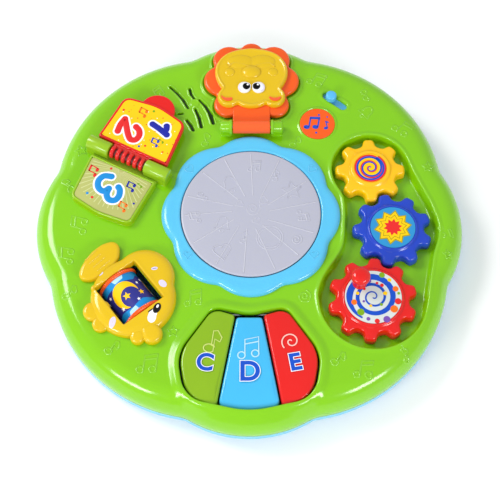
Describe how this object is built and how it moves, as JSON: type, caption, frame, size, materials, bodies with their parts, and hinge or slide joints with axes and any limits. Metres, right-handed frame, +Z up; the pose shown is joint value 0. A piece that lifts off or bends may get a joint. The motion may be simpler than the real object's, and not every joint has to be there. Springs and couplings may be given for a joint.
{
  "type": "musical activity table",
  "caption": "Round scalloped toy table top with a drum pad, piano keys, meshed crank gears, lift-up lion flap, turning book page, picture roller, slide switch and leg sockets.",
  "frame": {"origin": "middle of the table on the tray's underside, its resting face", "axes": "+Z up, +X to the player's right, +Y away from the piano keys"},
  "size_m": [0.46, 0.46, 0.075],
  "materials": {
    "shell_green": "glossy moulded ABS",
    "lime": "glossy moulded ABS",
    "key_lime_plastic": "glossy moulded ABS",
    "tray_blue": "satin moulded ABS",
    "ring_blue": "glossy moulded ABS",
    "pad_lavender": "fine matt moulded polypropylene",
    "white_plastic": "plain moulded ABS",
    "steel": "zinc plated steel",
    "dome_rubber": "silicone rubber",
    "board": "solder-masked circuit board",
    "board_black": "moulded black components",
    "yellow": "glossy moulded ABS",
    "blue": "glossy moulded ABS",
    "red": "glossy moulded ABS",
    "orange": "glossy moulded ABS",
    "print_spiral": "printed vinyl disc, spiral",
    "print_star": "printed vinyl disc, star",
    "print_dots": "printed vinyl disc, spiral and dots",
    "print_page": "printed vinyl sheet, numbers and notes",
    "print_tray": "printed vinyl sheet, number and notes",
    "print_sky": "printed roller sleeve, night sky",
    "eye_white": "glossy moulded eye",
    "eye_black": "glossy printed pupil",
    "speaker_steel": "pressed steel basket",
    "speaker_paper": "coated paper cone",
    "ferrite": "ferrite ring magnet",
    "cell": "printed metal cell jacket",
    "wire": "PVC insulation"
  },
  "bodies": {
    "table": {"top_shell": "shell_green", "base_shell": "tray_blue", "case_screws": "steel", "cover_screws": "steel", "small_screws": "steel", "drum_ring": "ring_blue", "drum_springs": "steel", "drum_dome": "dome_rubber", "drum_board": "board", "key_rod": "steel", "key_dome_lime": "dome_rubber", "key_dome_blue": "dome_rubber", "key_dome_red": "dome_rubber", "main_board": "board", "board_parts": "board_black", "gear_washers": "steel", "gear_screws": "steel", "lion_pin": "steel", "book_frame": "lime", "tray_label": "print_tray", "book_pin": "steel", "fish_body": "yellow", "roller_axle": "steel", "badge_disc": "orange", "slide_switch": "board_black", "speaker_basket": "speaker_steel", "speaker_cone": "speaker_paper", "speaker_magnet": "ferrite", "battery_box": "white_plastic", "battery_door": "tray_blue", "door_screw": "steel", "battery_cells": "cell", "battery_contacts": "steel", "wires": "wire"},
    "pad": {"drum_pad": "pad_lavender", "pad_retainer": "white_plastic", "pad_screws": "steel"},
    "lime_key": {"key_lime": "key_lime_plastic"},
    "blue_key": {"key_blue": "ring_blue"},
    "red_key": {"key_red": "red"},
    "yellow_gear": {"gear_yellow": "yellow", "disc_yellow": "print_spiral"},
    "blue_gear": {"gear_blue": "blue", "disc_blue": "print_star"},
    "red_gear": {"gear_red": "red", "disc_red": "print_dots", "crank_pin": "steel"},
    "knob": {"crank_knob": "red"},
    "lion": {"lion_mane": "orange", "lion_face": "yellow", "lion_eyes": "eye_white", "lion_pupils": "eye_black"},
    "page": {"book_page": "red", "page_label": "print_page"},
    "roller": {"roller_drum": "print_sky", "roller_flanges": "orange"},
    "slider": {"switch_slider": "ring_blue"}
  },
  "joints": [
    {"name": "pad_press", "type": "slide", "parent": "table", "child": "pad", "axis": [0, 0, -1], "range_m": [0, 0.0025], "stiffness_N_per_m": 900, "springref_m": -0.004, "deforming": ["drum_springs", "drum_dome"]},
    {"name": "lime_key_press", "type": "hinge", "parent": "table", "child": "lime_key", "pos_m": [0, -0.106, 0.041], "axis": [1, 0, 0], "range_deg": [0, 3], "stiffness_Nm_per_rad": 1.2, "springref_deg": -2.86, "deforming": ["key_dome_lime"]},
    {"name": "blue_key_press", "type": "hinge", "parent": "table", "child": "blue_key", "pos_m": [0, -0.106, 0.041], "axis": [1, 0, 0], "range_deg": [0, 3], "stiffness_Nm_per_rad": 1.2, "springref_deg": -2.86, "deforming": ["key_dome_blue"]},
    {"name": "red_key_press", "type": "hinge", "parent": "table", "child": "red_key", "pos_m": [0, -0.106, 0.041], "axis": [1, 0, 0], "range_deg": [0, 3], "stiffness_Nm_per_rad": 1.2, "springref_deg": -2.86, "deforming": ["key_dome_red"]},
    {"name": "red_gear_spin", "type": "hinge", "parent": "table", "child": "red_gear", "pos_m": [0.1282, -0.0905, 0.037], "axis": [0, 0, 1], "continuous": true},
    {"name": "blue_gear_spin", "type": "hinge", "parent": "table", "child": "blue_gear", "pos_m": [0.15222, -0.01043, 0.037], "axis": [0, 0, 1], "continuous": true},
    {"name": "yellow_gear_spin", "type": "hinge", "parent": "table", "child": "yellow_gear", "pos_m": [0.13123, 0.06137, 0.037], "axis": [0, 0, 1], "continuous": true},
    {"name": "knob_spin", "type": "hinge", "parent": "red_gear", "child": "knob", "pos_m": [0.1146, -0.0749, 0.06], "axis": [0, 0, 1], "continuous": true},
    {"name": "lion_lift", "type": "hinge", "parent": "table", "child": "lion", "pos_m": [0.0023, 0.1079, 0.0595], "axis": [1, 0, 0], "range_deg": [0, 105]},
    {"name": "page_turn", "type": "hinge", "parent": "table", "child": "page", "pos_m": [-0.1305, 0.0679, 0.061], "axis": [0.8957, -0.4446, 0], "range_deg": [0, 165]},
    {"name": "roller_spin", "type": "hinge", "parent": "table", "child": "roller", "pos_m": [-0.1241, -0.0882, 0.038], "axis": [0.6157, -0.788, 0], "continuous": true},
    {"name": "switch_slide", "type": "slide", "parent": "table", "child": "slider", "axis": [0.788, -0.6157, 0], "range_m": [0, 0.011]}
  ],
  "couplings": [
    {"joint": "blue_gear_spin", "follows": "red_gear_spin", "ratio": -1.1111},
    {"joint": "yellow_gear_spin", "follows": "red_gear_spin", "ratio": 1.25}
  ]
}
